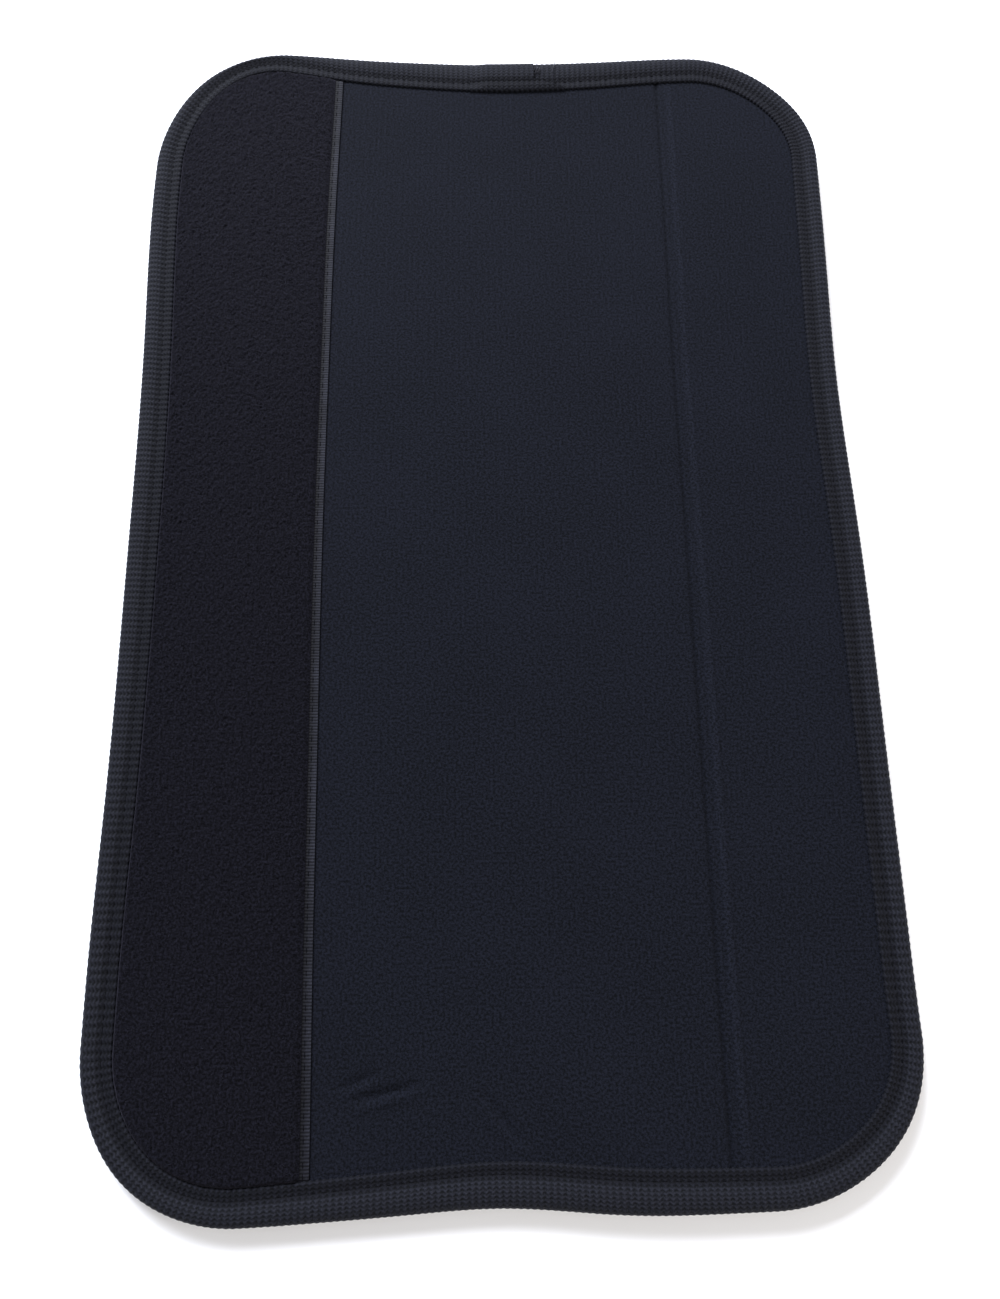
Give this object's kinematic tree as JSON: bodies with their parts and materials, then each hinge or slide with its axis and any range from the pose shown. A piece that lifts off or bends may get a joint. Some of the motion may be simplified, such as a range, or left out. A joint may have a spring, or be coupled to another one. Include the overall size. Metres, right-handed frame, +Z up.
{
  "type": "wrap-around kick shield",
  "caption": "Soft padded wrap of fabric-faced foam with a bound rounded edge, loop tape on the front of one side and hook tape behind the other, that lies flat and closes into a sleeve.",
  "frame": {"origin": "middle of the flat-laid panel's outline, at the surface it lies on", "axes": "+X across the closure from the loop tape's side to the hook tape's side, +Y along the sleeve, +Z up from the surface, out of the front that carries the loop tape"},
  "size_m": [0.2, 0.325, 0.0071],
  "materials": {
    "face_jersey": "knitted polyester jersey laminated to sponge, matte with a faint sheen",
    "foam_sponge": "closed-cell sponge, dull",
    "lining_jersey": "knitted nylon jersey, matte",
    "knit_binding": "knitted edge binding, matte",
    "loop_pile": "brushed nylon loop pile, very matte",
    "hook_nylon": "woven nylon tape with cut hooks, satin",
    "sewing_thread": "twisted polyester thread, satin"
  },
  "bodies": {
    "strip_1": {"face_fabric_1": "face_jersey", "foam_core_1": "foam_sponge", "lining_1": "lining_jersey", "binding_left": "knit_binding", "binding_stitch_left": "sewing_thread", "loop_tape_outer": "loop_pile"},
    "strip_2": {"face_fabric_2": "face_jersey", "foam_core_2": "foam_sponge", "lining_2": "lining_jersey", "binding_near_2": "knit_binding", "binding_far_2": "knit_binding", "binding_stitch_near_2": "sewing_thread", "binding_stitch_far_2": "sewing_thread", "loop_tape_inner": "loop_pile", "loop_tape_stitch": "sewing_thread"},
    "strip_3": {"face_fabric_3": "face_jersey", "foam_core_3": "foam_sponge", "lining_3": "lining_jersey", "binding_near_3": "knit_binding", "binding_far_3": "knit_binding", "binding_stitch_near_3": "sewing_thread", "binding_stitch_far_3": "sewing_thread"},
    "strip_4": {"face_fabric_4": "face_jersey", "foam_core_4": "foam_sponge", "lining_4": "lining_jersey", "binding_near_4": "knit_binding", "binding_far_4": "knit_binding", "binding_stitch_near_4": "sewing_thread", "binding_stitch_far_4": "sewing_thread"},
    "strip_5": {"face_fabric_5": "face_jersey", "foam_core_5": "foam_sponge", "lining_5": "lining_jersey", "binding_near_5": "knit_binding", "binding_far_5": "knit_binding", "binding_stitch_near_5": "sewing_thread", "binding_stitch_far_5": "sewing_thread", "binding_lap": "knit_binding"},
    "strip_6": {"face_fabric_6": "face_jersey", "foam_core_6": "foam_sponge", "lining_6": "lining_jersey", "binding_near_6": "knit_binding", "binding_far_6": "knit_binding", "binding_stitch_near_6": "sewing_thread", "binding_stitch_far_6": "sewing_thread"},
    "strip_7": {"face_fabric_7": "face_jersey", "foam_core_7": "foam_sponge", "lining_7": "lining_jersey", "binding_near_7": "knit_binding", "binding_far_7": "knit_binding", "binding_stitch_near_7": "sewing_thread", "binding_stitch_far_7": "sewing_thread", "hook_tape_inner": "hook_nylon", "hook_tape_stitch": "sewing_thread"},
    "strip_8": {"face_fabric_8": "face_jersey", "foam_core_8": "foam_sponge", "lining_8": "lining_jersey", "binding_right": "knit_binding", "binding_stitch_right": "sewing_thread", "hook_tape_outer": "hook_nylon"}
  },
  "joints": [
    {"name": "hook_side_wrap", "type": "hinge", "parent": "strip_4", "child": "strip_5", "pos_m": [0.0025, 0, 0.0062], "axis": [0, -1, 0], "range_deg": [0, 52], "stiffness_Nm_per_rad": 0.02},
    {"name": "hook_side_curl", "type": "hinge", "parent": "strip_5", "child": "strip_6", "pos_m": [0.0265, 0, 0.0062], "axis": [0, -1, 0], "range_deg": [0, 61.86], "stiffness_Nm_per_rad": 0.02},
    {"name": "hook_flap_fold", "type": "hinge", "parent": "strip_6", "child": "strip_7", "pos_m": [0.0505, 0, 0.0062], "axis": [0, -1, 0], "range_deg": [0, 73.3], "stiffness_Nm_per_rad": 0.02},
    {"name": "hook_flap_curl", "type": "hinge", "parent": "strip_7", "child": "strip_8", "pos_m": [0.07525, 0, 0.0062], "axis": [0, -1, 0], "range_deg": [0, 57.7], "stiffness_Nm_per_rad": 0.02},
    {"name": "loop_side_wrap", "type": "hinge", "parent": "strip_4", "child": "strip_3", "pos_m": [-0.0215, 0, 0.0062], "axis": [0, 1, 0], "range_deg": [0, 55], "stiffness_Nm_per_rad": 0.02},
    {"name": "loop_flap_fold", "type": "hinge", "parent": "strip_3", "child": "strip_2", "pos_m": [-0.0455, 0, 0.0062], "axis": [0, 1, 0], "range_deg": [0, 58.25], "stiffness_Nm_per_rad": 0.02},
    {"name": "loop_flap_curl", "type": "hinge", "parent": "strip_2", "child": "strip_1", "pos_m": [-0.07275, 0, 0.0062], "axis": [0, 1, 0], "range_deg": [0, 58.25], "stiffness_Nm_per_rad": 0.02}
  ],
  "couplings": [
    {"joint": "hook_side_curl", "follows": "hook_side_wrap", "ratio": 1.18},
    {"joint": "hook_flap_fold", "follows": "hook_side_wrap", "ratio": 1.4},
    {"joint": "hook_flap_curl", "follows": "hook_side_wrap", "ratio": 1.1},
    {"joint": "loop_flap_fold", "follows": "loop_side_wrap", "ratio": 1.05},
    {"joint": "loop_flap_curl", "follows": "loop_side_wrap", "ratio": 1.05}
  ]
}
